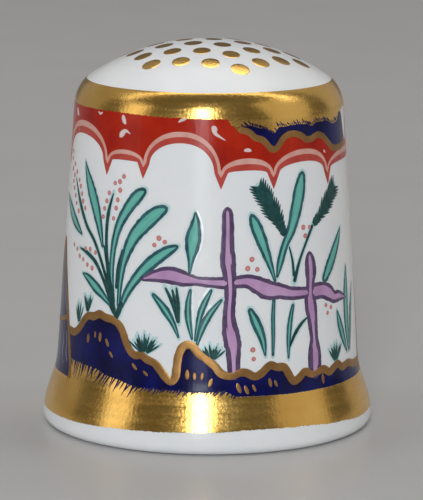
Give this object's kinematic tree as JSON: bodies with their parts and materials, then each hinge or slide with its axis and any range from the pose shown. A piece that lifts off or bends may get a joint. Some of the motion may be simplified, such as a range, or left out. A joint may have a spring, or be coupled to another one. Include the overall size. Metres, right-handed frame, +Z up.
{
  "type": "thimble",
  "caption": "Decorated bone china thimble: a flared hollow shell with a low domed crown, gilt bands and a fired-on enamel garden.",
  "frame": {"origin": "centre of the foot ring, on the plane the thimble stands on", "axes": "+Z up along the axis of the shell, from the open mouth to the domed crown; -Y towards the middle of the decorated front; +X to the right of that front"},
  "size_m": [0.024, 0.024, 0.028],
  "materials": {
    "bone_china": "clear glaze over white bone china",
    "gilding": "burnished gold, fired on and brushed",
    "red_enamel": "iron red enamel, glossy",
    "pink_enamel": "thin wash of the red enamel",
    "cobalt": "deep blue under the glaze",
    "turquoise_enamel": "translucent turquoise enamel",
    "dark_green_enamel": "dark green drawing colour",
    "lilac_enamel": "translucent lilac enamel",
    "purple_enamel": "dark purple drawing colour",
    "coral_enamel": "coral enamel dots"
  },
  "bodies": {
    "root": {"china_body": "bone_china", "gilt_foot_band": "gilding", "gilt_shoulder_band": "gilding", "gilt_crown_dots": "gilding", "red_scallop_ground": "red_enamel", "pink_scallop_line": "pink_enamel", "red_scallop_line": "red_enamel", "upper_cobalt_cloud": "cobalt", "upper_gilt_contour": "gilding", "lower_cobalt_rocks": "cobalt", "lower_gilt_contour": "gilding", "cobalt_rock_pillars": "cobalt", "gilt_pillar_lines": "gilding", "gilt_rock_flecks": "gilding", "fence_posts": "lilac_enamel", "fence_rails": "lilac_enamel", "fence_outlines": "purple_enamel", "turquoise_leaves": "turquoise_enamel", "leaf_outlines": "dark_green_enamel", "leaf_stems": "dark_green_enamel", "feather_leaves": "dark_green_enamel", "grass_tufts": "dark_green_enamel", "coral_berries": "coral_enamel"}
  },
  "joints": []
}
